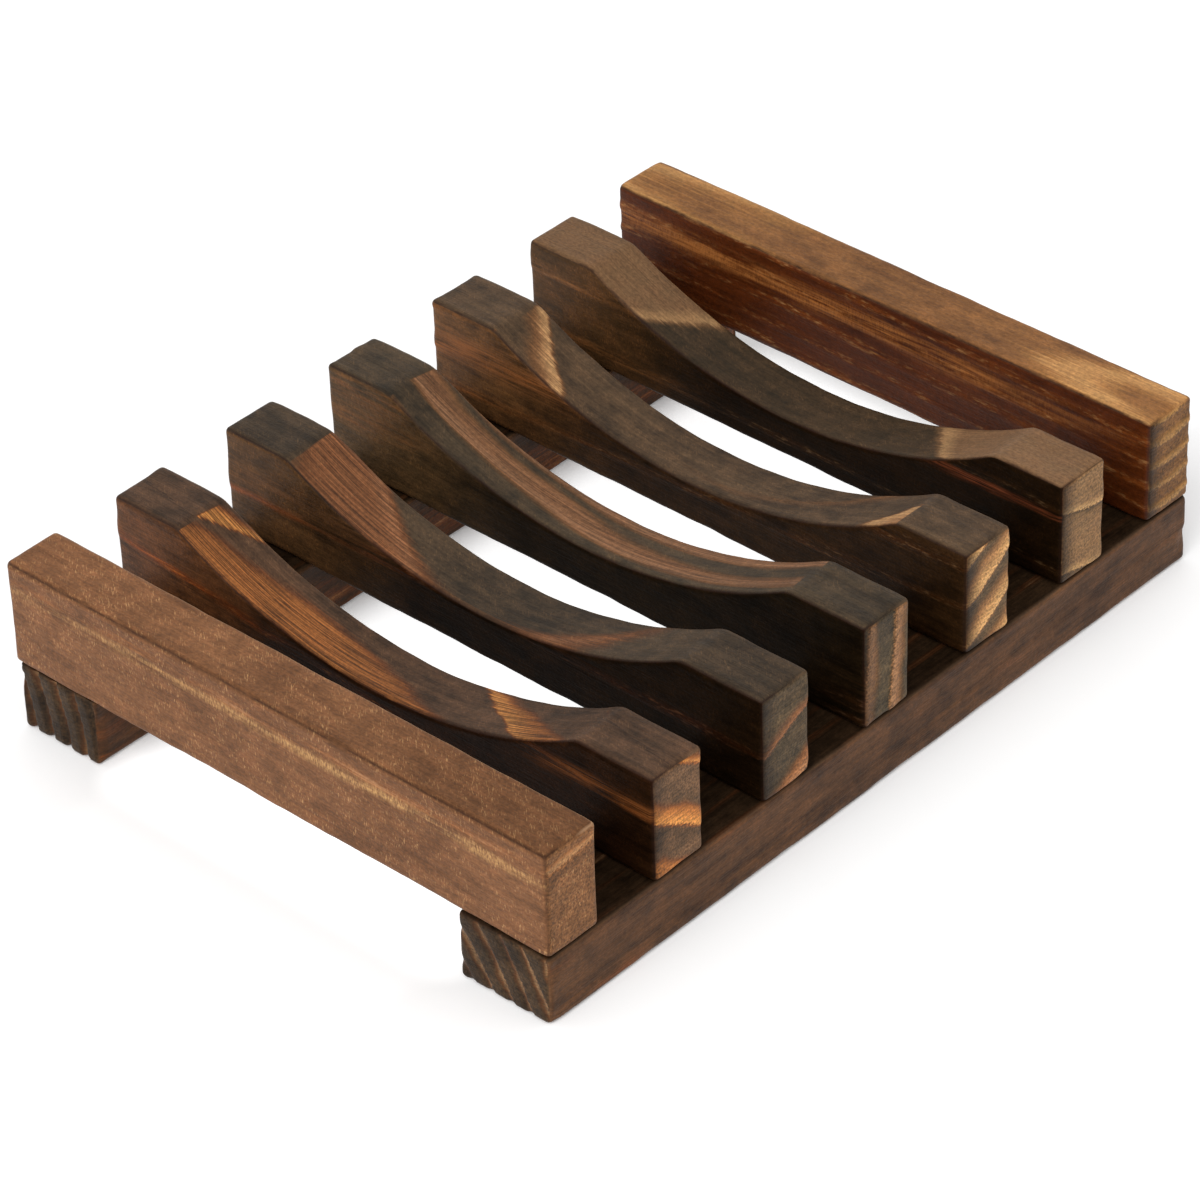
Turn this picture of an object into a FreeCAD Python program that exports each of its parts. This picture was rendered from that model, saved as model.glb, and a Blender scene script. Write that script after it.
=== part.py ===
"""Slatted soap dish of charred pine.

Seven slats lie across two rails. The two end slats are plain bars, and the five between them are
scooped along their top, so that together they make a shallow seat for a bar of soap. Water runs off
through the gaps between the slats, and the rails hold the slats up off the shelf. Each slat is glued
to both rails and pinned to each by a brad, driven up through the rail from below.

Frame: +X along the rails, from the left end slat to the right one, +Y along the slats, from the front
rail to the rear one, and +Z up. The origin is on the shelf, under the middle of the dish. Millimetres.
"""

import FreeCAD
import Part

import os

import Sketcher

# Driving dimensions
SIZES = {
    "slat_length": 88.0,  # along Y
    "slat_width": 8.7,  # along X
    "slat_height": 15.0,
    "slat_waist": 6.0,  # height that is left under the deepest point of the scoop
    "slat_arris": 0.8,  # radius of the eased edges
    "scoop_span": 66.0,  # along the slat, from one lip to the other
    "scoop_lip": 3.5,  # radius where the scoop turns into the flat ends
    "gap_1": 9.2,  # between neighbouring slats, counted from the left
    "gap_2": 10.2,
    "gap_3": 9.6,
    "gap_4": 10.2,
    "gap_5": 9.7,
    "gap_6": 8.6,
    "front_rail_width": 14.2,  # along Y
    "rear_rail_width": 13.2,
    "front_rail_inset": 0.2,  # the ends of the slats stand out past the rail by this much
    "rear_rail_inset": 0.3,
    "rail_height": 9.8,
    "rail_arris": 0.8,
    "brad_thickness": 1.0,  # of the wire, along X
    "brad_breadth": 1.2,  # of the wire, along Y
    "brad_head": 2.0,  # along Y
    "brad_head_height": 0.7,
    "brad_point": 1.6,  # length of the chisel point
    "brad_sink": 0.6,  # the heads are punched this far into the underside of the rails
    "brad_cover": 4.2,  # wood that is left above the point
}

SCOOPED_SLATS = 5
SLATS = SCOOPED_SLATS + 2
X_AXIS_INDEX = -1  # a sketch's own axes, as it numbers them
Y_AXIS_INDEX = -2
START_INDEX = 1  # the points of a line or arc
END_INDEX = 2
MATCH = 1e-3  # an edge this near to a place lies there

doc = FreeCAD.newDocument("soap_dish")
sheet = doc.addObject("Spreadsheet::Sheet", "sizes")
for row, (alias, value) in enumerate(SIZES.items(), start=1):
    sheet.set(f"A{row}", alias)
    sheet.set(f"B{row}", str(value))
    sheet.setAlias(f"B{row}", alias)
doc.recompute()

# Sizes worked out from the sheet
GAPS = [f"sizes.gap_{number}" for number in range(1, SLATS)]
RAIL_LENGTH = f"({SLATS} * sizes.slat_width + {' + '.join(GAPS)})"
FRONT_RAIL_PLACE = "(sizes.front_rail_inset + sizes.front_rail_width / 2 - sizes.slat_length / 2)"
REAR_RAIL_PLACE = "(sizes.slat_length / 2 - sizes.rear_rail_inset - sizes.rear_rail_width / 2)"
SCOOP_DEPTH = "(sizes.slat_height - sizes.slat_waist)"
SCOOP_RADIUS = f"((sizes.scoop_span ^ 2 / 4 + {SCOOP_DEPTH} ^ 2) / (2 * {SCOOP_DEPTH}))"
BRAD_LENGTH = "(sizes.rail_height + sizes.slat_height - sizes.brad_sink - sizes.brad_cover)"


def slat_place(index):
    """Distance from the left end of the rails to the middle of a slat, where the left end slat is 0."""
    return "(" + " + ".join([f"{index + 0.5} * sizes.slat_width", *GAPS[:index]]) + ")"


SLAT_PLACES = [slat_place(index) for index in range(SLATS)]

# Sketching


def sketch_on(body, name, plane):
    """A new sketch on one of the body's own origin planes."""
    sketch = body.newObject("Sketcher::SketchObject", name)
    support = next(feature for feature in body.Origin.OriginFeatures if feature.Role == plane)
    sketch.AttachmentSupport = [(support, "")]
    sketch.MapMode = "FlatFace"
    return sketch


def constrain(sketch, kind, *items):
    return sketch.addConstraint(Sketcher.Constraint(kind, *items))


def outline(sketch, corners):
    """Joins the corners by a closed run of straight lines, and returns the lines' numbers."""
    points = [FreeCAD.Vector(x, y, 0) for x, y in corners]
    lines = [sketch.addGeometry(Part.LineSegment(a, b)) for a, b in zip(points, points[1:] + points[:1])]
    for line, following in zip(lines, lines[1:] + lines[:1]):
        constrain(sketch, "Coincident", line, END_INDEX, following, START_INDEX)
    return lines


def level(sketch, *lines):
    for line in lines:
        constrain(sketch, "Horizontal", line)


def upright(sketch, *lines):
    for line in lines:
        constrain(sketch, "Vertical", line)


def bind(sketch, name, expression, kind, *items):
    """A named dimension that follows an expression on the sheet."""
    index = constrain(sketch, kind, *items, float(sketch.evalExpression(expression)))
    sketch.renameConstraint(index, name)
    sketch.setExpression(f"Constraints.{name}", expression)


def bar_in_plan(sketch, name, length, breadth, start=None):
    """A rectangle along the sketch's X axis, which begins at its origin or at a distance from it."""
    near_side, far_end, far_side, _ = outline(sketch, [(1, -1), (2, -1), (2, 1), (1, 1)])
    level(sketch, near_side, far_side)
    upright(sketch, far_end)
    constrain(sketch, "Symmetric", near_side, START_INDEX, far_side, END_INDEX, X_AXIS_INDEX)
    bind(sketch, f"{name}_length", length, "DistanceX", near_side, START_INDEX, near_side, END_INDEX)
    bind(sketch, f"{name}_breadth", breadth, "DistanceY", far_end, START_INDEX, far_end, END_INDEX)
    if start:
        bind(sketch, f"{name}_start", start, "DistanceX", X_AXIS_INDEX, START_INDEX, near_side, START_INDEX)
    else:
        constrain(sketch, "PointOnObject", near_side, START_INDEX, Y_AXIS_INDEX)


# Features


def pad(body, sketch, length, side_type):
    feature = body.newObject("PartDesign::Pad", f"{sketch.Name}_pad")
    feature.Profile = sketch
    feature.SideType = side_type
    feature.setExpression("Length", length)
    doc.recompute()
    return feature


def ease(body, base, name, radius, edges=None):
    """Rounds the given edges of a feature, or every edge that it has."""
    feature = body.newObject("PartDesign::Fillet", f"{body.Name}_{name}")
    feature.Base = (base, edges or ["Edge1"])
    feature.UseAllEdges = edges is None
    feature.setExpression("Radius", radius)
    doc.recompute()
    return feature


def place(piece, x, y, z):
    for axis, expression in {"x": x, "y": y, "z": z}.items():
        piece.setExpression(f".Placement.Base.{axis}", expression)


def drive_into(label, wood, brads):
    """The piece of wood with the holes that the brads make in it."""
    piece = doc.addObject("Part::Cut", label)
    piece.Base = wood
    piece.Tool = brads
    doc.recompute()
    return piece


# Brads: flat steel wire with a T head and a chisel point. Each stands in the middle of a rail, under the
# middle of a slat, and its head is punched below the underside of the rail.


def make_brad(name, slat_x, rail_y):
    body = doc.addObject("PartDesign::Body", name)
    sketch = sketch_on(body, f"{name}_profile", "YZ_Plane")
    head, wire = SIZES["brad_head"] / 2, SIZES["brad_breadth"] / 2
    shoulder = SIZES["brad_head_height"]
    tip = SIZES["rail_height"] + SIZES["slat_height"] - SIZES["brad_sink"] - SIZES["brad_cover"]
    right_half = [(head, 0), (head, shoulder), (wire, shoulder), (wire, tip - SIZES["brad_point"])]
    left_half = [(-x, y) for x, y in reversed(right_half)]
    lines = outline(sketch, [*right_half, (0, tip), *left_half])
    right_end, right_step, right_side, right_point, _, left_side, left_step, left_end, crown = lines
    level(sketch, right_step, left_step)
    upright(sketch, right_end, right_side, left_side, left_end)
    constrain(sketch, "Symmetric", crown, START_INDEX, crown, END_INDEX, Y_AXIS_INDEX)
    constrain(sketch, "Symmetric", right_side, END_INDEX, left_side, START_INDEX, Y_AXIS_INDEX)
    constrain(sketch, "Horizontal", right_step, END_INDEX, left_step, START_INDEX)
    constrain(sketch, "PointOnObject", crown, START_INDEX, X_AXIS_INDEX)
    constrain(sketch, "PointOnObject", right_point, END_INDEX, Y_AXIS_INDEX)
    bind(sketch, "head", "sizes.brad_head", "DistanceX", crown, START_INDEX, crown, END_INDEX)
    head_ends = (right_end, START_INDEX, right_end, END_INDEX)
    bind(sketch, "head_height", "sizes.brad_head_height", "DistanceY", *head_ends)
    wire_sides = (left_side, START_INDEX, right_side, END_INDEX)
    bind(sketch, "breadth", "sizes.brad_breadth", "DistanceX", *wire_sides)
    bind(sketch, "point", "sizes.brad_point", "DistanceY", right_point, START_INDEX, right_point, END_INDEX)
    bind(sketch, "length", BRAD_LENGTH, "DistanceY", X_AXIS_INDEX, START_INDEX, right_point, END_INDEX)
    pad(body, sketch, "sizes.brad_thickness", "Symmetric")
    place(body, f"{slat_x} - {RAIL_LENGTH} / 2", rail_y, "sizes.brad_sink")
    return body


def make_brads(label, rail_y):
    """The row of brads in one rail, which has one for each slat."""
    brads = doc.addObject("Part::Compound", label)
    names = [f"{label}_{number}" for number in range(1, SLATS + 1)]
    brads.Links = [make_brad(name, slat_x, rail_y) for name, slat_x in zip(names, SLAT_PLACES)]
    doc.recompute()
    return brads


front_rail_brads = make_brads("front_rail_brads", FRONT_RAIL_PLACE)
rear_rail_brads = make_brads("rear_rail_brads", REAR_RAIL_PLACE)

# Rails: the two bars that the dish stands on, with the mark that the punch leaves below each brad


def make_rail(label, rail_y, width, brads):
    body = doc.addObject("PartDesign::Body", f"{label}_bar")
    plan = sketch_on(body, f"{label}_plan", "XY_Plane")
    bar_in_plan(plan, "bar", RAIL_LENGTH, width)
    bar = pad(body, plan, "sizes.rail_height", "One side")
    eased_bar = ease(body, bar, "arrises", "sizes.rail_arris")

    marks = sketch_on(body, f"{label}_punch_marks", "XY_Plane")
    for index, slat_x in enumerate(SLAT_PLACES):
        start = f"{slat_x} - sizes.brad_thickness / 2"
        bar_in_plan(marks, f"mark_{index + 1}", "sizes.brad_thickness", "sizes.brad_head", start)
    punched_bar = body.newObject("PartDesign::Pocket", f"{label}_punched_bar")
    punched_bar.Profile = marks
    punched_bar.Reversed = True  # up, into the bar
    punched_bar.setExpression("Length", "sizes.brad_sink")
    doc.recompute()
    assert punched_bar.Shape.Volume < eased_bar.Shape.Volume, f"{label} has no punch marks"

    place(body, f"-{RAIL_LENGTH} / 2", rail_y, "0")
    return drive_into(label, body, brads)


front_rail = make_rail("front_rail", FRONT_RAIL_PLACE, "sizes.front_rail_width", front_rail_brads)
rear_rail = make_rail("rear_rail", REAR_RAIL_PLACE, "sizes.rear_rail_width", rear_rail_brads)

# Slats: the bars across the rails, glued to their top and held by the brads


def slat_profile(body, scooped):
    """Side view of a slat that lies on the sketch's X axis, with a round scoop in its top or none."""
    sketch = sketch_on(body, f"{body.Name}_profile", "YZ_Plane")
    end, height, lip = SIZES["slat_length"] / 2, SIZES["slat_height"], SIZES["scoop_span"] / 2
    corners = [(-end, height), (-end, 0), (end, 0), (end, height)]
    if scooped:
        left_lip, right_lip = (-lip, height), (lip, height)
        left_land, left, bottom, right, right_land, chord = outline(sketch, [left_lip, *corners, right_lip])
        sketch.setConstruction(chord, True)
        through = [FreeCAD.Vector(x, y, 0) for x, y in [left_lip, (0, SIZES["slat_waist"]), right_lip]]
        scoop = sketch.addGeometry(Part.Arc(*through))
        constrain(sketch, "Coincident", chord, START_INDEX, scoop, END_INDEX)
        constrain(sketch, "Coincident", chord, END_INDEX, scoop, START_INDEX)
        level(sketch, left_land, right_land)
        constrain(sketch, "Symmetric", chord, START_INDEX, chord, END_INDEX, Y_AXIS_INDEX)
        bind(sketch, "scoop_span", "sizes.scoop_span", "DistanceX", chord, END_INDEX, chord, START_INDEX)
        bind(sketch, "scoop_radius", SCOOP_RADIUS, "Radius", scoop)
    else:
        left, bottom, right, top = outline(sketch, corners)
        level(sketch, top)
    upright(sketch, left, right)
    constrain(sketch, "Symmetric", bottom, START_INDEX, bottom, END_INDEX, Y_AXIS_INDEX)
    constrain(sketch, "PointOnObject", bottom, START_INDEX, X_AXIS_INDEX)
    bind(sketch, "length", "sizes.slat_length", "DistanceX", bottom, START_INDEX, bottom, END_INDEX)
    bind(sketch, "height", "sizes.slat_height", "DistanceY", right, START_INDEX, right, END_INDEX)
    return sketch


def lip_edges(bar):
    """Names of the two edges across a slat where its scoop meets its flat ends."""
    names = []
    for number, edge in enumerate(bar.Shape.Edges, start=1):
        middle = edge.CenterOfMass
        at_lip = abs(abs(middle.y) - SIZES["scoop_span"] / 2) < MATCH
        if at_lip and abs(middle.z - SIZES["slat_height"]) < MATCH:
            names.append(f"Edge{number}")
    assert len(names) == 2, "a scoop has two lips"
    return names


def make_slat(label, slat_x, scooped):
    body = doc.addObject("PartDesign::Body", f"{label}_bar")
    bar = pad(body, slat_profile(body, scooped), "sizes.slat_width", "Symmetric")
    if scooped:
        bar = ease(body, bar, "lips", "sizes.scoop_lip", lip_edges(bar))
    ease(body, bar, "arrises", "sizes.slat_arris")
    place(body, f"{slat_x} - {RAIL_LENGTH} / 2", "0", "sizes.rail_height")
    return drive_into(label, body, all_brads)


all_brads = doc.addObject("Part::Compound", "all_brads")
all_brads.Links = [front_rail_brads, rear_rail_brads]

slats = [make_slat("left_end_slat", SLAT_PLACES[0], scooped=False)]
for number in range(1, SCOOPED_SLATS + 1):
    slats.append(make_slat(f"scooped_slat_{number}", SLAT_PLACES[number], scooped=True))
slats.append(make_slat("right_end_slat", SLAT_PLACES[-1], scooped=False))

# Check the document, then write one file for each sub-part

doc.recompute()
failed = [item.Label for item in doc.Objects if {"Invalid", "Error"} & set(item.State)]
assert not failed, f"failed to build: {failed}"

nodes = [front_rail, rear_rail, *slats, front_rail_brads, rear_rail_brads]
for node in nodes:
    assert not node.Shape.isNull() and node.Shape.isValid(), f"{node.Label} has no valid shape"

os.makedirs("parts", exist_ok=True)
for node in nodes:
    node.Shape.exportStep(f"parts/{node.Label}.step")
    box = node.Shape.optimalBoundingBox()
    size = f"{box.XLength:.1f} x {box.YLength:.1f} x {box.ZLength:.1f} mm"
    print(f"{node.Label}: {len(node.Shape.Solids)} solids, {node.Shape.Volume:.1f} mm3, {size}")
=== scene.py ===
"""Soap dish of scorched pine: two rails, seven slats laid across them, and the brads that pin each crossing.

Five of the slats are scooped to seat the soap. Every bar is made by one Geometry Nodes tree, which also lays
the growth rings through it, so that what is tan at a bar's end runs on along its sides and down its scoop.
"""

import math
from functools import partial

import bpy
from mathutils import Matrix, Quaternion, Vector


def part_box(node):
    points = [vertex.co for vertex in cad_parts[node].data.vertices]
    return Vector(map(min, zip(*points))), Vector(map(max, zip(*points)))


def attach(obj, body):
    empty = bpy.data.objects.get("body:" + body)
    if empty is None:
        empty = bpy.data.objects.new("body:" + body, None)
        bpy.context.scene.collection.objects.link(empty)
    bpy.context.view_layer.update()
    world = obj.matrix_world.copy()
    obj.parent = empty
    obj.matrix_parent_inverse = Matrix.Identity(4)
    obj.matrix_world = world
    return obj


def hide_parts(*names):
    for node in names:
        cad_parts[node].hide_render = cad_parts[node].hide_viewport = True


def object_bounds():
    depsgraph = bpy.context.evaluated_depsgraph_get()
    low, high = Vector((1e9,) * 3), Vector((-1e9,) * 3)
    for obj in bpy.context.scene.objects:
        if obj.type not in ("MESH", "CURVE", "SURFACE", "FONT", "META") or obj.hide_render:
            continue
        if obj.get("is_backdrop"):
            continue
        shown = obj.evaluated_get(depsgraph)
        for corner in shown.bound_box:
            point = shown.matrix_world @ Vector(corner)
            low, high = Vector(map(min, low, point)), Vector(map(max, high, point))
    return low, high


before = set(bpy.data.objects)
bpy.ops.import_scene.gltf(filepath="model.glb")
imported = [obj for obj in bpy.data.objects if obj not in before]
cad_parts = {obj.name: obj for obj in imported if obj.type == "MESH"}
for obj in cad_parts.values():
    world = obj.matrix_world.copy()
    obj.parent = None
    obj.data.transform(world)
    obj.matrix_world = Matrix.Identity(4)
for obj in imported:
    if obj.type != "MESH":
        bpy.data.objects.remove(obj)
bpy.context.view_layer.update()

# Rails
# Two sawn bars of scorched pine under the slats, which the dish stands on.
# Their ends are burnt and brushed, so that the softer wood is left as grooves between the rings.

MM = 0.001
CELL = 0.32  # mm, of the bars' mesh
NOISE = {1: 0.3, 2: 0.7}  # the span that most of a noise lies in, as Map Range takes it


def put(tree, kind, wires, **settings):
    """Adds a node; a wire is a value, a socket, or a node whose first output is meant.

    Sockets go by name or by number. In Map Range 0 is the value, 1 and 2 are the span it comes from, and
    3 and 4 the span it goes to. In Mix 0 is the factor, between 2 and 3 for numbers, 6 and 7 for colours.
    """
    node = tree.nodes.new(kind)
    for name, value in settings.items():
        setattr(node, name, value)
    for key, value in wires.items():
        if isinstance(value, bpy.types.Node):
            value = next(output for output in value.outputs if output.enabled and not output.is_unavailable)
        if isinstance(value, bpy.types.NodeSocket):
            tree.links.new(value, node.inputs[key])
        else:
            node.inputs[key].default_value = value
    return node


def linear(code):
    """Linear colour of an sRGB hex code."""
    parts = [int(code[i : i + 2], 16) / 255 for i in (1, 3, 5)]
    return [p / 12.92 if p <= 0.04045 else ((p + 0.055) / 1.055) ** 2.4 for p in parts] + [1.0]


# What a bar is given: its size, scoop and arris in mm, its rings, how much of them the flame spared on each
# kind of face, how deep its relief is, and where it lies
BAR_INPUTS = {
    "NodeSocketGeometry": ["Marks"],
    "NodeSocketInt": ["Cells across", "Cells along", "Cells up"],
    "NodeSocketFloat": (
        ["Across", "Along", "Up", "Waist", "Scoop radius", "Scoop middle", "Lip", "Arris"]
        + ["Pith", "Ring", "Ring edge", "Rise", "Wander", "Seed"]
        + ["Spare land", "Spare scoop", "Spare side", "Spare end", "Spare far", "Spare front"]
        + ["Soft relief", "Hard relief", "Face relief", "End back", "Turn"]
    ),
    "NodeSocketVector": ["Outward", "Place"],
    "NodeSocketMaterial": ["Material"],
}

bar_tree = bpy.data.node_groups.new("scorched bar", "GeometryNodeTree")
for kind, names in BAR_INPUTS.items():
    for name in names:
        bar_tree.interface.new_socket(name=name, in_out="INPUT", socket_type=kind)
bar_tree.interface.new_socket(name="Bar", in_out="OUTPUT", socket_type="NodeSocketGeometry")
given = bar_tree.nodes.new("NodeGroupInput").outputs
carve = partial(put, bar_tree)

# The blank: a gridded block in mm, about its own middle until the scoop's step stands it on z = 0
block_size = carve("ShaderNodeCombineXYZ", {0: given["Across"], 1: given["Along"], 2: given["Up"]})
block = carve(
    "GeometryNodeMeshCube",
    {0: block_size, 1: given["Cells across"], 2: given["Cells along"], 3: given["Cells up"]},
)
at = carve("ShaderNodeSeparateXYZ", {0: carve("GeometryNodeInputPosition", {})})

# The scoop: the top follows an arc of a circle, eased into the flat lands at the lips
from_middle = carve("ShaderNodeMath", {0: at.outputs[1], 1: given["Scoop middle"]}, operation="SUBTRACT")
along_squared = carve("ShaderNodeMath", {0: from_middle, 1: from_middle}, operation="MULTIPLY")
radius_squared = carve(
    "ShaderNodeMath", {0: given["Scoop radius"], 1: given["Scoop radius"]}, operation="MULTIPLY"
)
under_root = carve("ShaderNodeMath", {0: radius_squared, 1: along_squared}, operation="SUBTRACT")
root = carve("ShaderNodeMath", {0: under_root, 1: 0.5}, operation="POWER")
sag = carve("ShaderNodeMath", {0: given["Scoop radius"], 1: root}, operation="SUBTRACT")
arc = carve("ShaderNodeMath", {0: given["Waist"], 1: sag}, operation="ADD")
top = carve("ShaderNodeMath", {0: given["Up"], 1: arc, 2: given["Lip"]}, operation="SMOOTH_MIN")
share = carve("ShaderNodeMath", {0: at.outputs[2], 1: given["Up"]}, operation="DIVIDE")
share = carve("ShaderNodeMath", {0: share, 1: 0.5}, operation="ADD")
height = carve("ShaderNodeMath", {0: share, 1: top}, operation="MULTIPLY")
scooped = carve("ShaderNodeMath", {0: given["Up"], 1: top}, operation="SUBTRACT")

# The arrises: every point keeps one radius from the core of the bar, a radius that varies along the edges
WEAR_SCALE = 0.15  # per mm
LEAST_WEAR = 0.8  # of the arris radius
MOST_WEAR = 1.2
on_block = carve("ShaderNodeCombineXYZ", {0: at.outputs[0], 1: at.outputs[1], 2: height})
worn = carve(
    "ShaderNodeTexNoise",
    {"Vector": on_block, "W": given["Seed"], "Scale": WEAR_SCALE, "Detail": 2.0},
    noise_dimensions="4D",
)
worn = carve("ShaderNodeMapRange", {0: worn, **NOISE, 3: LEAST_WEAR, 4: MOST_WEAR})
radius = carve("ShaderNodeMath", {0: given["Arris"], 1: worn}, operation="MULTIPLY")
half_across = carve("ShaderNodeMath", {0: given["Across"], 1: 0.5}, operation="MULTIPLY")
half_along = carve("ShaderNodeMath", {0: given["Along"], 1: 0.5}, operation="MULTIPLY")
core_x = carve("ShaderNodeMath", {0: half_across, 1: radius}, operation="SUBTRACT")
core_y = carve("ShaderNodeMath", {0: half_along, 1: radius}, operation="SUBTRACT")
core_z = carve("ShaderNodeMath", {0: top, 1: radius}, operation="SUBTRACT")
core_high = carve("ShaderNodeCombineXYZ", {0: core_x, 1: core_y, 2: core_z})
minus_x = carve("ShaderNodeMath", {0: core_x, 1: -1.0}, operation="MULTIPLY")
minus_y = carve("ShaderNodeMath", {0: core_y, 1: -1.0}, operation="MULTIPLY")
core_low = carve("ShaderNodeCombineXYZ", {0: minus_x, 1: minus_y, 2: radius})
core = carve("ShaderNodeVectorMath", {0: on_block, 1: core_high}, operation="MINIMUM")
core = carve("ShaderNodeVectorMath", {0: core, 1: core_low}, operation="MAXIMUM")
away = carve("ShaderNodeVectorMath", {0: on_block, 1: core}, operation="SUBTRACT")
away = carve("ShaderNodeVectorMath", {0: away}, operation="NORMALIZE")
reach = carve("ShaderNodeVectorMath", {0: away, "Scale": radius}, operation="SCALE")
rounded = carve("ShaderNodeVectorMath", {0: core, 1: reach}, operation="ADD")

# How much of an arris a spot is: none on a face, 1 on an edge, counted below 0 on the near side of the bar
SIDE_TURN = 2.5  # mm from the middle of the bar, where its sides begin
facing = carve("ShaderNodeVectorMath", {0: away}, operation="ABSOLUTE")
facing = carve("ShaderNodeSeparateXYZ", {0: facing})
squareness = carve("ShaderNodeMath", {0: facing.outputs[0], 1: facing.outputs[1]}, operation="MAXIMUM")
squareness = carve("ShaderNodeMath", {0: squareness, 1: facing.outputs[2]}, operation="MAXIMUM")
arris = carve("ShaderNodeMapRange", {0: squareness, 1: 1.0, 2: 0.78, 3: 0.0, 4: 1.0})
arris_side = carve("ShaderNodeMapRange", {0: at.outputs[0], 1: -SIDE_TURN, 2: SIDE_TURN, 3: -1.0, 4: 1.0})
arris = carve("ShaderNodeMath", {0: arris, 1: arris_side}, operation="MULTIPLY")

# The near end of a bar may be cut a little short
near_end = carve("ShaderNodeMath", {0: at.outputs[1], 1: half_along}, operation="DIVIDE")
near_end = carve("ShaderNodeMapRange", {0: near_end, 1: -0.6, 2: -1.0, 3: 0.0, 4: 1.0})
shortened = carve("ShaderNodeMath", {0: given["End back"], 1: near_end}, operation="MULTIPLY")
shortened = carve("ShaderNodeCombineXYZ", {1: shortened})
cut = carve("ShaderNodeVectorMath", {0: rounded, 1: shortened}, operation="ADD")
bar = carve(
    "GeometryNodeStoreNamedAttribute", {"Geometry": block.outputs["Mesh"], "Name": "arris", "Value": arris}
)
bar = carve("GeometryNodeStoreNamedAttribute", {"Geometry": bar, "Name": "scooped", "Value": scooped})
bar = carve("GeometryNodeSetPosition", {"Geometry": bar, "Position": cut})

# The wood: growth rings about a pith far from the bar, counted outwards from one ring's edge
WANDER_SCALE = (0.12, 0.035, 0.12)  # per mm, so the rings bend more slowly along the bar than across it
place = carve("GeometryNodeInputPosition", {})
spot = carve("ShaderNodeSeparateXYZ", {0: place})
mid_height = carve("ShaderNodeMath", {0: given["Up"], 1: 0.5}, operation="MULTIPLY")
above_mid = carve("ShaderNodeMath", {0: spot.outputs[2], 1: mid_height}, operation="SUBTRACT")
section = carve("ShaderNodeCombineXYZ", {0: spot.outputs[0], 2: above_mid})
from_pith = carve("ShaderNodeVectorMath", {0: given["Outward"], "Scale": given["Pith"]}, operation="SCALE")
from_pith = carve("ShaderNodeVectorMath", {0: from_pith, 1: section}, operation="ADD")
from_pith = carve("ShaderNodeVectorMath", {0: from_pith}, operation="LENGTH")
outward = carve("ShaderNodeMath", {0: from_pith, 1: given["Pith"]}, operation="SUBTRACT")
climb = carve("ShaderNodeMath", {0: spot.outputs[1], 1: given["Rise"]}, operation="MULTIPLY")
outward = carve("ShaderNodeMath", {0: outward, 1: climb}, operation="SUBTRACT")
stretched = carve("ShaderNodeVectorMath", {0: place, 1: WANDER_SCALE}, operation="MULTIPLY")
wander = carve(
    "ShaderNodeTexNoise",
    {"Vector": stretched, "W": given["Seed"], "Scale": 1.0, "Detail": 2.0},
    noise_dimensions="4D",
)
wander = carve("ShaderNodeMapRange", {0: wander, 1: 0.25, 2: 0.75, 3: -1.0, 4: 1.0}, clamp=False)
wander = carve("ShaderNodeMath", {0: wander, 1: given["Wander"], 2: outward}, operation="MULTIPLY_ADD")
past_edge = carve("ShaderNodeMath", {0: wander, 1: given["Ring edge"]}, operation="SUBTRACT")
rings = carve("ShaderNodeMath", {0: past_edge, 1: given["Ring"]}, operation="DIVIDE")

# What the flame spared: how many mm of wood inside each ring's edge, on each kind of face
normal = carve("GeometryNodeInputNormal", {})
lean = carve("ShaderNodeSeparateXYZ", {0: normal})
end_on = carve("ShaderNodeMath", {0: lean.outputs[1]}, operation="ABSOLUTE")
end_on = carve("ShaderNodeMapRange", {0: end_on, 1: 0.7, 2: 0.92}, interpolation_type="SMOOTHSTEP")
top_on = carve("ShaderNodeMapRange", {0: lean.outputs[2], 1: 0.5, 2: 0.8}, interpolation_type="SMOOTHSTEP")
hollow = carve("GeometryNodeInputNamedAttribute", {"Name": "scooped"})
in_scoop = carve("ShaderNodeMapRange", {0: hollow, 1: 0.05, 2: 0.3}, interpolation_type="SMOOTHSTEP")
aside = carve("ShaderNodeMath", {0: spot.outputs[0], 1: given["Across"]}, operation="DIVIDE")
towards = carve("ShaderNodeMath", {0: spot.outputs[1], 1: given["Along"]}, operation="DIVIDE")
farther = carve("ShaderNodeMath", {0: aside, 1: given["Spare far"]}, operation="MULTIPLY")
nearer = carve("ShaderNodeMath", {0: towards, 1: given["Spare front"]}, operation="MULTIPLY")
scoop_spare = carve("ShaderNodeMath", {0: given["Spare scoop"], 1: farther}, operation="ADD")
scoop_spare = carve("ShaderNodeMath", {0: scoop_spare, 1: nearer}, operation="SUBTRACT")
top_spare = carve("ShaderNodeMix", {0: in_scoop, 2: given["Spare land"], 3: scoop_spare}, data_type="FLOAT")
spare = carve("ShaderNodeMix", {0: top_on, 2: given["Spare side"], 3: top_spare}, data_type="FLOAT")
spare = carve("ShaderNodeMix", {0: end_on, 2: spare, 3: given["Spare end"]}, data_type="FLOAT")
scoop_on = carve("ShaderNodeMath", {0: in_scoop, 1: top_on}, operation="MULTIPLY")
bottom_on = carve(
    "ShaderNodeMapRange", {0: lean.outputs[2], 1: -0.5, 2: -0.8}, interpolation_type="SMOOTHSTEP"
)
level = carve("ShaderNodeMath", {0: top_on, 1: bottom_on}, operation="SUBTRACT")
kinds = carve("ShaderNodeCombineXYZ", {0: end_on, 1: level, 2: scoop_on})

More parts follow.
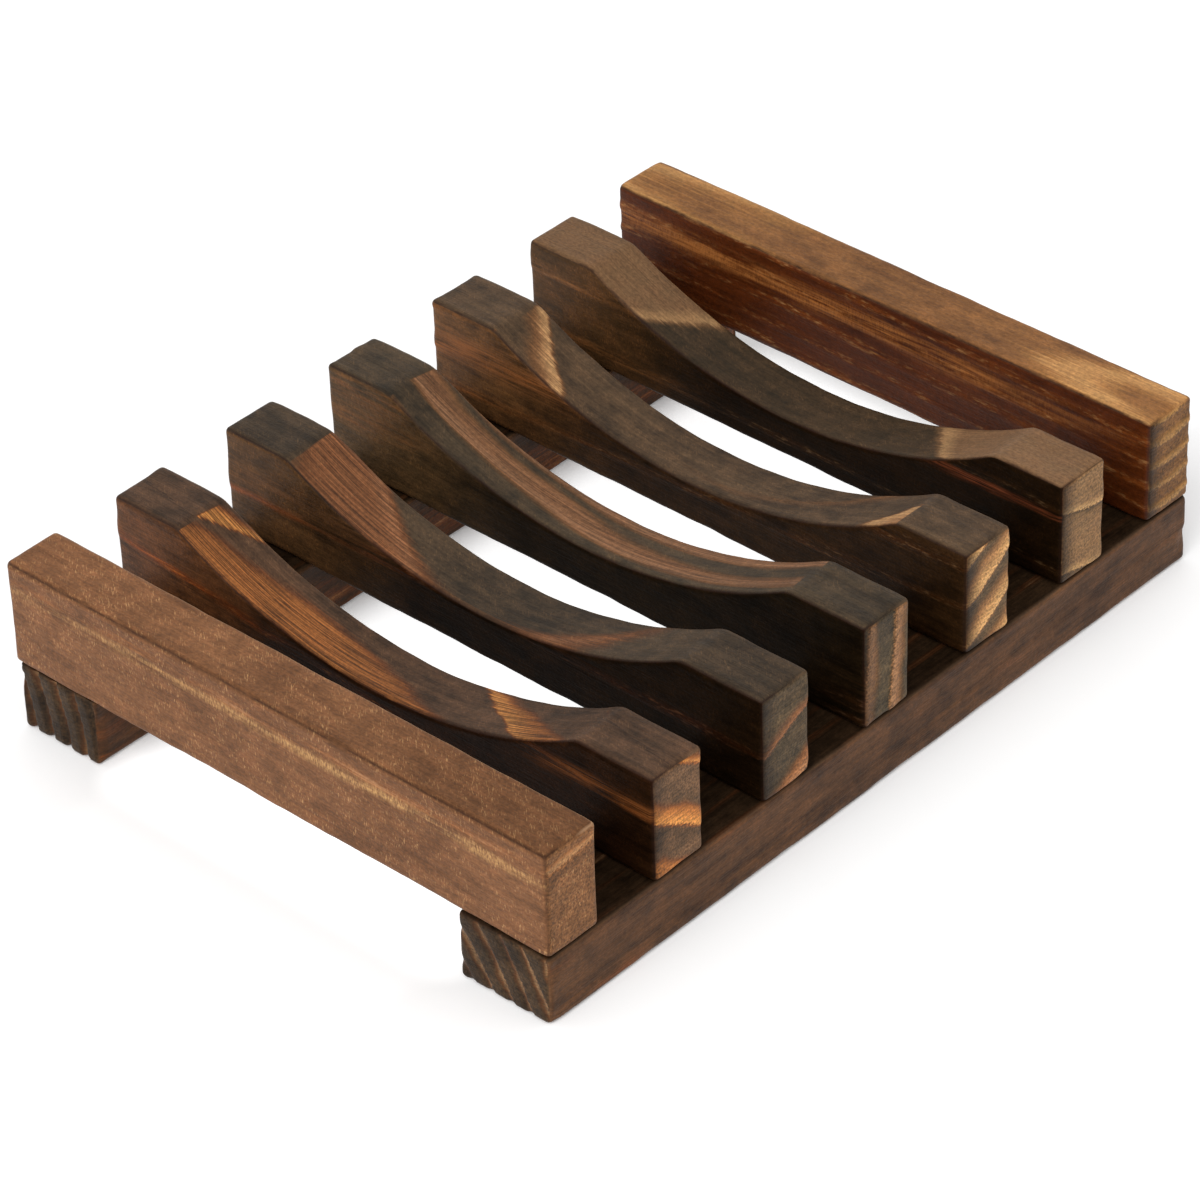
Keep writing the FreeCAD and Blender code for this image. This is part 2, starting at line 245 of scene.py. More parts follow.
# The relief: brushing wears the grooves between the rings, deepest at the ends, and nothing is quite flat
END_RELIEF_FROM = 2.2  # mm from the end
END_RELIEF_FULL = 0.5
SWELL = 0.08  # mm
SWELL_SCALE = 0.1  # per mm
in_ring = carve("ShaderNodeMath", {0: rings}, operation="FRACT")
hard = carve("ShaderNodeMapRange", {0: in_ring, 1: 0.5, 2: 0.78}, interpolation_type="SMOOTHSTEP")
hard_edge = carve("ShaderNodeMapRange", {0: in_ring, 1: 1.0, 2: 0.88}, interpolation_type="SMOOTHSTEP")
hard = carve("ShaderNodeMath", {0: hard, 1: hard_edge}, operation="MULTIPLY")
end_relief = carve(
    "ShaderNodeMix", {0: hard, 2: given["Soft relief"], 3: given["Hard relief"]}, data_type="FLOAT"
)
soft = carve("ShaderNodeMath", {0: 1.0, 1: hard}, operation="SUBTRACT")
face_relief = carve("ShaderNodeMath", {0: soft, 1: given["Face relief"]}, operation="MULTIPLY")
from_end = carve("ShaderNodeMath", {0: spot.outputs[1]}, operation="ABSOLUTE")
from_end = carve("ShaderNodeMath", {0: half_along, 1: from_end}, operation="SUBTRACT")
by_end = carve(
    "ShaderNodeMapRange",
    {0: from_end, 1: END_RELIEF_FROM, 2: END_RELIEF_FULL},
    interpolation_type="SMOOTHSTEP",
)
relief = carve("ShaderNodeMix", {0: by_end, 2: face_relief, 3: end_relief}, data_type="FLOAT")
swell = carve(
    "ShaderNodeTexNoise",
    {"Vector": place, "W": given["Seed"], "Scale": SWELL_SCALE, "Detail": 4.0, "Roughness": 0.55},
    noise_dimensions="4D",
)
swell = carve("ShaderNodeMapRange", {0: swell, **NOISE, 3: 0.0, 4: SWELL})
relief = carve("ShaderNodeMath", {0: relief, 1: swell}, operation="ADD")

# The punch marks: a dent below each brad, in the face that looks down
PUNCH_RIM = 1.25  # mm
PUNCH_FLOOR = 0.8
PUNCH_DEPTH = 0.75
mark = carve(
    "GeometryNodeProximity", {0: given["Marks"], "Sample Position": place}, target_element="POINTS"
)
dent = carve(
    "ShaderNodeMapRange",
    {0: mark.outputs["Distance"], 1: PUNCH_RIM, 2: PUNCH_FLOOR, 3: 0.0, 4: PUNCH_DEPTH},
    interpolation_type="SMOOTHSTEP",
)
dent = carve("ShaderNodeMath", {0: dent, 1: mark.outputs["Is Valid"]}, operation="MULTIPLY")
relief = carve("ShaderNodeMath", {0: relief, 1: dent}, operation="ADD")
sunk = carve("ShaderNodeMath", {0: relief, 1: -1.0}, operation="MULTIPLY")
sunk = carve("ShaderNodeVectorMath", {0: normal, "Scale": sunk}, operation="SCALE")
grain = carve("ShaderNodeCombineXYZ", {0: spot.outputs[0], 1: spot.outputs[1], 2: above_mid})

# The finished bar: it carries what its material reads, and is turned, put in its place and scaled to metres
for name, value in {"rings": rings, "spare": spare}.items():
    bar = carve("GeometryNodeStoreNamedAttribute", {"Geometry": bar, "Name": name, "Value": value})
for name, value in {"grain": grain, "kinds": kinds}.items():
    bar = carve(
        "GeometryNodeStoreNamedAttribute",
        {"Geometry": bar, "Name": name, "Value": value},
        data_type="FLOAT_VECTOR",
    )
bar = carve("GeometryNodeSetPosition", {"Geometry": bar, "Offset": sunk})
turn = carve("ShaderNodeCombineXYZ", {2: given["Turn"]})
bar = carve(
    "GeometryNodeTransform",
    {"Geometry": bar, "Translation": given["Place"], "Rotation": turn, "Scale": (MM, MM, MM)},
)
bar = carve("GeometryNodeSetShadeSmooth", {"Geometry": bar})
bar = carve("GeometryNodeRealizeInstances", {"Geometry": bar})
bar = carve("GeometryNodeSetMaterial", {"Geometry": bar, "Material": given["Material"]})
carve("NodeGroupOutput", {0: bar})


def grow(name, tree, points, settings):
    """Runs a tree on a mesh of points and keeps what it makes as a plain mesh."""
    seed = bpy.data.meshes.new(name)
    seed.from_pydata(points, [], [])
    piece = bpy.data.objects.new(name, seed)
    bpy.context.scene.collection.objects.link(piece)
    step = piece.modifiers.new(tree.name, "NODES")
    step.node_group = tree
    for socket in tree.interface.items_tree:
        if socket.name in settings:
            step[socket.identifier] = settings[socket.name]
    bpy.context.view_layer.update()
    made = bpy.data.meshes.new_from_object(piece.evaluated_get(bpy.context.evaluated_depsgraph_get()))
    piece.modifiers.clear()
    piece.data = made
    return piece


# Stains that all the bars share, as sRGB, and the light rim painted on the far arrises as a highlight
BURNT_FIBRE = "#1f120a"
RING_SEAM = "#1a1009"
END_SCORCH = "#170d07"
CHARRED_ARRIS = "#210e07"
# Painted highlight: the light rim along the far arrises
RIM_HIGHLIGHT = "#b08a68"
SAW_TICK = "#c99a66"
COOL_MOTTLE = "#f0f6ee"
WARM_MOTTLE = "#fff0e2"
END_TINT = "#fbfef5"
NO_TINT = "#ffffff"

# Sizes of the burning in mm, and places along a bar and across its end, counted from the middle:
# # where the shade painted on the sides deepens and lifts, where the tops' painted brightness runs, and
# where the scorch lies
FRAY = 0.2
SIDE_BRINK = 0.9
SEAM_WIDTH = 0.5
STREAK_SWAY = 2.5
FIBRE_HEIGHT = 0.15
# Painted shade on the sides: deepest up to the first of these, lightest from the second, in mm along the bar
SHADE_DEEP_UNTIL = 10.0
SHADE_LIFTED_FROM = 40.0
TOP_MIDDLE = 0.0
TOP_FRONT = -36.0
SCORCH_FROM = -1.2
SCORCH_FULL = -4.0


def scorched_pine(name, ring, seed, look):
    """Pine that a flame has browned: char in the soft wood, ember to pale in the hard part of each ring."""
    char, ash, ember, tan, pale = [linear(code) for code in look["burn"]]
    material = bpy.data.materials.new(name)
    material.use_nodes = True
    material.node_tree.nodes.clear()
    stain = partial(put, material.node_tree)
    read = {
        key: stain("ShaderNodeAttribute", {}, attribute_name=key).outputs
        for key in ("grain", "rings", "spare", "arris", "kinds")
    }
    grain = read["grain"]["Vector"]
    x, y, z = stain("ShaderNodeSeparateXYZ", {0: grain}).outputs
    on_end, level, in_scoop = stain("ShaderNodeSeparateXYZ", {0: read["kinds"]["Vector"]}).outputs
    on_top = stain("ShaderNodeMath", {0: level, 1: 0.0}, operation="MAXIMUM")
    flat = stain("ShaderNodeMath", {0: level}, operation="ABSOLUTE")
    off_side = stain("ShaderNodeMath", {0: on_end, 1: on_top}, operation="ADD", use_clamp=True)

    # Fibres run along the bar on every long face; strokes of the saw and brush lie across them
    across = stain("ShaderNodeMix", {0: flat, 2: z, 3: x}, data_type="FLOAT")
    along = stain("ShaderNodeCombineXYZ", {0: across, 1: y})
    stroke_side = stain("ShaderNodeMath", {0: y, 1: x}, operation="SUBTRACT")
    stroke_run = stain("ShaderNodeMath", {0: x, 1: z}, operation="ADD")
    stroke = stain("ShaderNodeCombineXYZ", {0: stroke_side, 1: stroke_run})

    # Fibres of 0.4 and 0.2 mm, flecks of 1 by 10 mm, sparks of 0.3 by 1.4 mm, clouds of 6 mm, mottles of
    # 2 mm, specks of 0.3 mm and strokes of 0.2 by 0.6 mm, each with its scale per mm and its detail
    weaves = {
        "fibre": (along, (2.6, 0.04, 1.0), 3.0),
        "hair": (along, (5.0, 0.1, 1.0), 3.0),
        "fleck": (along, (1.1, 0.1, 1.0), 5.0),
        "spark": (along, (3.0, 0.7, 1.0), 2.0),
        "cloud": (grain, (0.16, 0.06, 0.16), 3.0),
        "mottle": (grain, (0.5, 0.35, 0.5), 4.0),
        "speck": (grain, (3.2, 2.0, 3.2), 3.0),
        "tick": (stroke, (5.0, 1.6, 1.0), 2.0),
    }
    weave = {}
    for number, (key, (lie, scale, detail)) in enumerate(weaves.items()):
        stretched = stain("ShaderNodeVectorMath", {0: lie, 1: scale}, operation="MULTIPLY")
        weave[key] = stain(
            "ShaderNodeTexNoise",
            {"Vector": stretched, "W": seed + number, "Scale": 1.0, "Detail": detail, "Roughness": 0.55},
            noise_dimensions="4D",
        )

    # How far inside its ring's edge each spot lies, and how far inside the wood that the flame spared, in mm
    ragged = stain("ShaderNodeMix", {0: on_end, 2: weave["fibre"], 3: weave["speck"]}, data_type="FLOAT")
    ragged = stain("ShaderNodeMapRange", {0: ragged, **NOISE, 3: -FRAY / ring, 4: FRAY / ring})
    count = stain("ShaderNodeMath", {0: read["rings"]["Fac"], 1: ragged}, operation="ADD")
    in_ring = stain("ShaderNodeMath", {0: count}, operation="FRACT")
    inside = stain("ShaderNodeMath", {0: in_ring, 1: -ring, 2: ring}, operation="MULTIPLY_ADD")
    year = stain("ShaderNodeMath", {0: count}, operation="FLOOR")
    year = stain("ShaderNodeMath", {0: year, 1: 1.0}, operation="ADD")
    drift = stain("ShaderNodeMath", {0: in_scoop, 1: look["drift"]}, operation="MULTIPLY")
    drift = stain("ShaderNodeMix", {0: on_end, 2: drift, 3: look["end drift"]}, data_type="FLOAT")
    yearly = stain("ShaderNodeMath", {0: year, 1: drift}, operation="MULTIPLY")
    later = stain("ShaderNodeMath", {0: year, 1: 0.0}, operation="MAXIMUM")
    later = stain("ShaderNodeMath", {0: later, 1: in_scoop}, operation="MULTIPLY")
    later = stain("ShaderNodeMath", {0: later, 1: y}, operation="MULTIPLY")
    yearly = stain(
        "ShaderNodeMath", {0: later, 1: look["drift slope"], 2: yearly}, operation="MULTIPLY_ADD"
    )
    patchy = stain(
        "ShaderNodeMapRange", {0: weave["cloud"], **NOISE, 3: -look["patches"], 4: look["patches"]}
    )
    kept = stain("ShaderNodeMath", {0: read["spare"]["Fac"], 1: patchy}, operation="ADD")
    kept = stain("ShaderNodeMath", {0: kept, 1: yearly}, operation="ADD")
    kept = stain("ShaderNodeMath", {0: kept, 1: inside}, operation="SUBTRACT")
    spared = stain(
        "ShaderNodeMapRange", {0: kept, 1: -FRAY, 2: look["soft"]}, interpolation_type="SMOOTHSTEP"
    )
    brink = stain("ShaderNodeMix", {0: on_end, 2: look["brink"], 3: look["end brink"]}, data_type="FLOAT")
    brink = stain("ShaderNodeMix", {0: off_side, 2: SIDE_BRINK, 3: brink}, data_type="FLOAT")
    brink = stain("ShaderNodeMapRange", {0: inside, 1: 0.0, 2: brink}, interpolation_type="SMOOTHSTEP")
    spared = stain("ShaderNodeMath", {0: spared, 1: brink}, operation="MULTIPLY")

    # The sides burnt unevenly, so what is spared there is left as flecks
    flecks = stain(
        "ShaderNodeMapRange", {0: weave["fleck"], 1: 0.38, 2: 0.62}, interpolation_type="SMOOTHSTEP"
    )
    flecks = stain("ShaderNodeMix", {0: off_side, 2: flecks, 3: 1.0}, data_type="FLOAT")
    spared = stain("ShaderNodeMath", {0: spared, 1: flecks}, operation="MULTIPLY")

    # Colours: char is never one tone, and the hard wood runs from ember to pale at the ring's edge
    char_tone = stain("ShaderNodeMath", {0: weave["cloud"], 1: weave["fleck"]}, operation="ADD")
    char_tone = stain("ShaderNodeMath", {0: char_tone, 1: weave["mottle"]}, operation="ADD")
    char_tone = stain("ShaderNodeMapRange", {0: char_tone, 1: 1.2, 2: 1.8})
    wood = stain("ShaderNodeMix", {0: char_tone, 6: char, 7: ash}, data_type="RGBA")
    by_edge = stain("ShaderNodeMapRange", {0: inside, 1: look["reach"], 2: 0.3 * look["reach"]})
    burns = [(0.0, 0.45, ember, 1.0), (0.35, 0.9, tan, 1.0), (0.6, 1.0, pale, by_edge)]
    for low, high, tone, where in burns:
        step = stain("ShaderNodeMapRange", {0: spared, 1: low, 2: high})
        step = stain("ShaderNodeMath", {0: step, 1: where}, operation="MULTIPLY")
        wood = stain("ShaderNodeMix", {0: step, 6: wood, 7: tone}, data_type="RGBA")
    hue = stain(
        "ShaderNodeMix",
        {0: weave["mottle"], 6: linear(COOL_MOTTLE), 7: linear(WARM_MOTTLE)},
        data_type="RGBA",
    )
    wood = stain("ShaderNodeVectorMath", {0: wood, 1: hue}, operation="MULTIPLY")

    # Fibres that took the flame are thin dark lines, most of them where the wood is tan
    lines = stain("ShaderNodeMath", {0: weave["fibre"], 1: 0.5}, operation="SUBTRACT")
    lines = stain("ShaderNodeMath", {0: lines}, operation="ABSOLUTE")
    lines = stain("ShaderNodeMapRange", {0: lines, 1: 0.075, 2: 0.0}, interpolation_type="SMOOTHSTEP")
    line_depth = stain("ShaderNodeMapRange", {0: spared, 3: 0.3 * look["lines"], 4: look["lines"]})
    off_end = stain("ShaderNodeMath", {0: 1.0, 1: on_end}, operation="SUBTRACT")
    line_depth = stain("ShaderNodeMath", {0: line_depth, 1: off_end}, operation="MULTIPLY")
    lines = stain("ShaderNodeMath", {0: lines, 1: line_depth}, operation="MULTIPLY")
    wood = stain("ShaderNodeMix", {0: lines, 6: wood, 7: linear(BURNT_FIBRE)}, data_type="RGBA")
    hairs = stain("ShaderNodeMapRange", {0: weave["hair"], **NOISE, 3: -0.5, 4: 0.5})
    hairiness = stain("ShaderNodeMapRange", {0: spared, 3: 0.3, 4: 0.3 + 0.8 * look["lines"]})
    hairs = stain("ShaderNodeMath", {0: hairs, 1: hairiness, 2: 1.0}, operation="MULTIPLY_ADD")
    wood = stain("ShaderNodeVectorMath", {0: wood, "Scale": hairs}, operation="SCALE")

    # A thin dark line follows each ring's edge where the face is burnt all over
    seam = stain("ShaderNodeMapRange", {0: in_ring, 1: 0.0, 2: SEAM_WIDTH / ring, 3: look["seams"], 4: 0.0})
    bare = stain("ShaderNodeMath", {0: on_end, 1: in_scoop}, operation="MAXIMUM")
    bare = stain("ShaderNodeMath", {0: 1.0, 1: bare}, operation="SUBTRACT", use_clamp=True)
    seam = stain("ShaderNodeMath", {0: seam, 1: bare}, operation="MULTIPLY")
    wood = stain("ShaderNodeMix", {0: seam, 6: wood, 7: linear(RING_SEAM)}, data_type="RGBA")

    # End grain shows the cut ends of the fibres as dark and light specks
    specks = stain("ShaderNodeMapRange", {0: weave["speck"], 1: 0.36, 2: 0.64, 3: 1.45, 4: 0.55})
    grit = stain("ShaderNodeMapRange", {0: weave["speck"], **NOISE, 3: 1.28, 4: 0.72})
    specks = stain("ShaderNodeMix", {0: on_end, 2: grit, 3: specks}, data_type="FLOAT")
    end_tone = stain("ShaderNodeMapRange", {0: on_end, 3: 1.0, 4: look["end"]})
    specks = stain("ShaderNodeMath", {0: specks, 1: end_tone}, operation="MULTIPLY")
    wood = stain("ShaderNodeVectorMath", {0: wood, "Scale": specks}, operation="SCALE")
    end_hue = stain("ShaderNodeMix", {0: on_end, 6: linear(NO_TINT), 7: linear(END_TINT)}, data_type="RGBA")
    wood = stain("ShaderNodeVectorMath", {0: wood, 1: end_hue}, operation="MULTIPLY")

    # Ticks: short golden strokes across the grain, left by the saw in clusters and laid bare by brushing
    ticks = stain("ShaderNodeMapRange", {0: weave["tick"], 1: 0.56, 2: 0.7, 3: 0.0, 4: look["ticks"]})
    clusters = stain("ShaderNodeMapRange", {0: weave["mottle"], 1: 0.42, 2: 0.58})
    ticks = stain("ShaderNodeMath", {0: ticks, 1: clusters}, operation="MULTIPLY")
    wood = stain("ShaderNodeMix", {0: ticks, 6: wood, 7: linear(SAW_TICK)}, data_type="RGBA")

    # The sides get a tint of their own. Painted shade: along the gaps the sides are darkened from the near
    # end to
    #     # just past the middle and lightened towards the far end, where the light reaches in, and the tops
    #     are made
    #     # darker or lighter along their length as the light falls on them. Sparks of bare wood show on the
    #     sides
    #     # where the flame spared it
    side_tone = stain(
        "ShaderNodeMix", {0: off_side, 6: linear(look["side"]), 7: linear(NO_TINT)}, data_type="RGBA"
    )
    wood = stain("ShaderNodeVectorMath", {0: wood, 1: side_tone}, operation="MULTIPLY")
    # Painted shade along the gaps: darker from the near end to past the middle, lighter towards the far end
    painted_shading = stain(
        "ShaderNodeMapRange",
        {0: y, 1: SHADE_DEEP_UNTIL, 2: SHADE_LIFTED_FROM, 3: 1.0 - look["painted_shading"], 4: 1.0 + 1.2 * look["painted_shading"]},
        interpolation_type="SMOOTHSTEP",
    )
    # Painted light on the tops: a brightness that changes along them, as the light falls
    top_tone = stain(
        "ShaderNodeMapRange", {0: y, 1: TOP_MIDDLE, 2: TOP_FRONT, 3: look["top"], 4: look["top front"]}
    )
    top_tone = stain("ShaderNodeMix", {0: on_end, 2: top_tone, 3: 1.0}, data_type="FLOAT")
    painted_shading = stain("ShaderNodeMix", {0: off_side, 2: painted_shading, 3: top_tone}, data_type="FLOAT")
    wood = stain("ShaderNodeVectorMath", {0: wood, "Scale": painted_shading}, operation="SCALE")
    sparks = stain("ShaderNodeMapRange", {0: weave["spark"], 1: 0.52, 2: 0.7, 3: 0.0, 4: look["sparks"]})
    sparks = stain("ShaderNodeMath", {0: sparks, 1: spared}, operation="MULTIPLY")
    sideways = stain("ShaderNodeMath", {0: 1.0, 1: off_side}, operation="SUBTRACT")
    sparks = stain("ShaderNodeMath", {0: sparks, 1: sideways}, operation="MULTIPLY")
    wood = stain("ShaderNodeMix", {0: sparks, 6: wood, 7: pale}, data_type="RGBA")

    # A streak of bare wood runs along the side where the flame was held off it
    swayed = stain("ShaderNodeMath", {0: weave["cloud"], 1: STREAK_SWAY, 2: z}, operation="MULTIPLY_ADD")
    streak_height = look["streak height"] + STREAK_SWAY / 2
    off_streak = stain("ShaderNodeMath", {0: swayed, 1: streak_height}, operation="SUBTRACT")
    off_streak = stain("ShaderNodeMath", {0: off_streak}, operation="ABSOLUTE")
    streak = stain(
        "ShaderNodeMapRange",
        {0: off_streak, 1: look["streak width"], 2: 0.0, 3: 0.0, 4: look["streak"]},
        interpolation_type="SMOOTHSTEP",
    )
    run = stain("ShaderNodeMapRange", {0: y, 1: look["streak from"], 2: look["streak to"]})
    broken = stain(
        "ShaderNodeMix", {0: look["hatch"], 2: weave["hair"], 3: weave["tick"]}, data_type="FLOAT"
    )
    broken = stain("ShaderNodeMapRange", {0: broken, 1: 0.36, 2: 0.58})
    pieces = stain("ShaderNodeMapRange", {0: weave["fleck"], 1: 0.36, 2: 0.56})
    broken = stain("ShaderNodeMath", {0: broken, 1: pieces}, operation="MULTIPLY")
    run = stain("ShaderNodeMath", {0: run, 1: broken}, operation="MULTIPLY")
    run = stain("ShaderNodeMath", {0: run, 1: sideways}, operation="MULTIPLY")
    streak = stain("ShaderNodeMath", {0: streak, 1: run}, operation="MULTIPLY")
    wood = stain("ShaderNodeMix", {0: streak, 6: wood, 7: linear(look["glow"])}, data_type="RGBA")

    # The near side of each end is scorched, most at its edge
    scorch = stain("ShaderNodeMapRange", {0: x, 1: SCORCH_FROM, 2: SCORCH_FULL, 4: look["scorch"]})
    scorch = stain("ShaderNodeMath", {0: scorch, 1: on_end}, operation="MULTIPLY")
    wood = stain("ShaderNodeMix", {0: scorch, 6: wood, 7: linear(END_SCORCH)}, data_type="RGBA")

    # The arrises: charred to a dark line on the near side; on the far one a light rim is painted, a
    # highlight
    #     # standing in for the shine of the light on the rounded arris
    edge = read["arris"]["Fac"]
    near_line = stain("ShaderNodeMapRange", {0: edge, 1: -0.3, 2: -0.95, 4: look["near"]})
    upright = stain("ShaderNodeMapRange", {0: on_top, 1: 0.0, 2: 0.4, 3: 0.7, 4: 1.0})
    near_line = stain("ShaderNodeMath", {0: near_line, 1: upright}, operation="MULTIPLY")
    worn_off = stain("ShaderNodeMapRange", {0: weave["mottle"], 1: 0.36, 2: 0.54, 3: 0.25, 4: 1.0})
    near_line = stain("ShaderNodeMath", {0: near_line, 1: worn_off}, operation="MULTIPLY")
    wood = stain("ShaderNodeMix", {0: near_line, 6: wood, 7: linear(CHARRED_ARRIS)}, data_type="RGBA")
    # Painted highlight: a light rim along the far arris
    far_rim_highlight = stain("ShaderNodeMapRange", {0: edge, 1: 0.3, 2: 0.9, 4: look["far"]})
    wood = stain("ShaderNodeMix", {0: far_rim_highlight, 6: wood, 7: linear(RIM_HIGHLIGHT)}, data_type="RGBA")

    # Lacquer: satin, thinner over the fibres' ridges and duller where the painted shade is deep, with the
    # fibres felt
    #     # as a fine bump
    gloss = stain("ShaderNodeMapRange", {0: painted_shading, 1: 0.2, 2: 1.0, 3: 0.02, 4: 0.12})
    shine = stain("ShaderNodeMapRange", {0: weave["hair"], **NOISE, 3: 0.38, 4: 0.55})
    bumps = stain("ShaderNodeMath", {0: weave["hair"], 1: weave["speck"]}, operation="ADD")
    bump = stain("ShaderNodeBump", {"Strength": 0.4, "Distance": FIBRE_HEIGHT * MM, "Height": bumps})
    shader = stain(
        "ShaderNodeBsdfPrincipled",
        {"Base Color": wood, "Roughness": shine, "Normal": bump, "Specular IOR Level": gloss},
    )
    stain("ShaderNodeOutputMaterial", {"Surface": shader})
    return material


def lay_bar(node, along_x, settings, material, marks=()):
    """Makes one bar in its node's box and hands it over."""
    low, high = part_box(node)
    size = (high - low) / MM
    across, along = (size.y, size.x) if along_x else (size.x, size.y)
    middle = (low + high) / 2
    angle = math.radians(settings["lean"])
    blank = {
        "Across": across,
        "Along": along,
        "Up": size.z,
        "Cells across": round(across / CELL) + 1,
        "Cells along": round(along / CELL) + 1,
        "Cells up": round(size.z / CELL) + 1,
        "Outward": (math.cos(angle), 0.0, math.sin(angle)),
        "Turn": math.radians(-90) if along_x else 0.0,
        "Place": (middle.x, middle.y, low.z),
        "Material": material,
    }
    # Without a scoop of its own, a bar has one that passes high above it and leaves its top flat
    no_scoop = {"Waist": 3 * size.z, "Scoop radius": 200.0, "Scoop middle": 0.0, "Lip": 0.5}
    piece = grow(node, bar_tree, marks, blank | no_scoop | settings)
    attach(piece, "root")
    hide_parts(node)


slat_nodes = ["left_end_slat"] + [f"scooped_slat_{i}" for i in range(1, 6)] + ["right_end_slat"]
slat_middles = [sum(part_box(node), Vector()).x / 2 / MM for node in slat_nodes]
# How the rails were sawn: the lean of their rings in degrees, and in mm the pith's distance, a ring's width,
# where its edge lies and how it climbs and wanders, how much the flame spared, and what brushing took
rail_sawing = {
    "Spare land": 0.6,
    "Spare scoop": 0.0,
    "Spare far": 0.0,
    "Spare front": 0.0,
    "Soft relief": 0.0,
    "Face relief": 0.05,
    "Arris": 0.75,
}
rail_bars = {
    "front_rail": {
        "lean": 30.0,
        "Pith": 30.0,
        "Ring": 2.9,
        "Ring edge": 0.1,
        "Rise": 0.012,
        "Wander": 0.35,
        "Spare side": 0.1,
        "Spare end": 1.0,
        "Hard relief": 0.2,
        "End back": 0.0,
        "Seed": 4.1,
    },
    "rear_rail": {
        "lean": 11.0,
        "Pith": 60.0,
        "Ring": 2.95,
        "Ring edge": -1.9,
        "Rise": 0.0,
        "Wander": 0.25,
        "Spare side": 1.2,
        "Spare end": 1.15,
        "Hard relief": 0.5,
        "End back": 0.25,
        "Seed": 7.7,
    },
}
# How the rails were burnt, which every bar's look says in the same words.
# burn: char, ash, ember, tan and pale, from the deepest burn to bare wood.
# reach, soft, brink: mm of pale wood by a ring's edge, of fading into char, and of dark at the edge itself.
# patches, drift: mm of wood that clouds of flame spare more or less, and that each later ring spares more,
# in the scoop, per mm along it, and at the ends.
# lines, seams, ticks, sparks: strength of burnt fibres, dark ring edges, saw strokes and bare sparks.
# side, top, end: tint of the sides, brightness of the top, painted as the light falls on it, and brightness
# # of the ends; one more key gives the strength of the shade painted along the gaps.
# scorch, near, far: strength of the scorched end edge, of the charred line on the near arris, and of the
# highlight
# # painted on the far arris.
# streak, glow, hatch: strength and place in mm of a bare streak on the side, its colour, and how far strokes
# break it up.
rail_look = {
    "burn": ("#3c2b1e", "#69503b", "#74472b", "#9a7050", "#b48c6c"),
    "reach": 1.3,
    "soft": 0.9,
    "brink": 0.6,
    "end brink": 0.4,
    "patches": 0.8,
    "drift": 0.0,
    "drift slope": 0.0,
    "end drift": 0.0,
    "lines": 0.65,
    "seams": 0.35,
    "ticks": 0.05,
    "sparks": 0.1,
    "side": "#ffe6cc",
    "painted_shading": 0.0,
    # The rails' tops, seen only in the gaps between the slats, are darkened as painted shade
    "top": 0.28,
    "top front": 0.28,
    "end": 0.49,
    "scorch": 0.3,
    "near": 0.3,
    "far": 0.05,
    "streak": 0.0,
    "streak height": 0.0,
    "streak width": 1.0,
    "streak from": 0.0,
    "streak to": 1.0,
    "glow": "#8a4a2c",
    "hatch": 0.0,
}
marks = [(0.0, middle, 0.0) for middle in slat_middles]
for node, own in rail_bars.items():
    pine = scorched_pine(f"scorched pine of {node}", own["Ring"], own["Seed"], rail_look)
    lay_bar(node, True, rail_sawing | own, pine, marks)

# Slats
# Seven sawn bars of the same pine laid across the rails; the five between the ends are scooped for the soap.
# The scoops were cut after the burning and burnt again more lightly, so the rings show best in them.

slat_sawing = {
    "Pith": 200.0,
    "Rise": 0.0,
    "Wander": 0.45,
    "Spare land": -0.5,
    "Spare scoop": 0.0,
    "Spare side": 1.8,
    "Spare far": 0.0,
    "Spare front": 0.0,
    "Soft relief": 0.12,
    "Hard relief": 0.0,
    "Face relief": 0.05,
    "End back": 0.0,
    "Arris": 0.8,
}
slat_bars = {
    "left_end_slat": {
        "lean": -83.0,
        "Ring": 40.0,
        "Ring edge": -4.27,
        "Spare end": 2.0,
    },
    "scooped_slat_1": {
        "lean": -118.8,
        "Ring": 8.0,
        "Ring edge": -2.52,
        "Rise": -0.099,
        "Spare scoop": 3.1,
        "Spare side": 1.6,
        "Spare end": 3.3,
        "Spare far": -2.5,
    },
    "scooped_slat_2": {
        "lean": -63.9,
        "Ring": 8.1,
        "Ring edge": -0.36,
        "Spare scoop": 4.3,
        "Spare end": 2.0,
        "Spare front": -11.0,
    },
    "scooped_slat_3": {
        "lean": 174.0,
        "Ring": 4.9,
        "Ring edge": 2.8,
        "Rise": -0.038,
        "Spare scoop": 4.2,
        "Spare end": 3.0,
        "Spare front": -2.5,
    },
    "scooped_slat_4": {
        "lean": -58.6,
        "Ring": 4.95,
        "Ring edge": -4.28,
        "Rise": 0.04,
        "Spare land": -0.3,
        "Spare scoop": 4.2,
        "Spare end": 4.2,
        "Spare front": 4.0,
    },
    "scooped_slat_5": {
        "lean": -104.0,
        "Ring": 8.2,
        "Ring edge": -1.6,
        "Spare land": 8.5,
        "Spare scoop": 8.5,
        "Spare side": 2.0,
        "Spare end": 9.0,
    },
    "right_end_slat": {
        "lean": -87.6,
        "Pith": 20.0,
        "Ring": 3.2,
        "Ring edge": 1.49,
        "Rise": -0.04,
        "Spare land": 1.4,
        "Spare side": 1.9,
        "Spare end": 1.6,
    },
}
slat_burning = {
    "end brink": 0.9,
    "drift": 0.0,
    "drift slope": 0.0,
    "end drift": 0.0,
    "ticks": 0.1,
    "sparks": 0.5,
    "painted_shading": 0.8,
    "top": 1.0,
    "top front": 1.0,
    "near": 0.75,
    "far": 0.1,
    "hatch": 0.0,
}
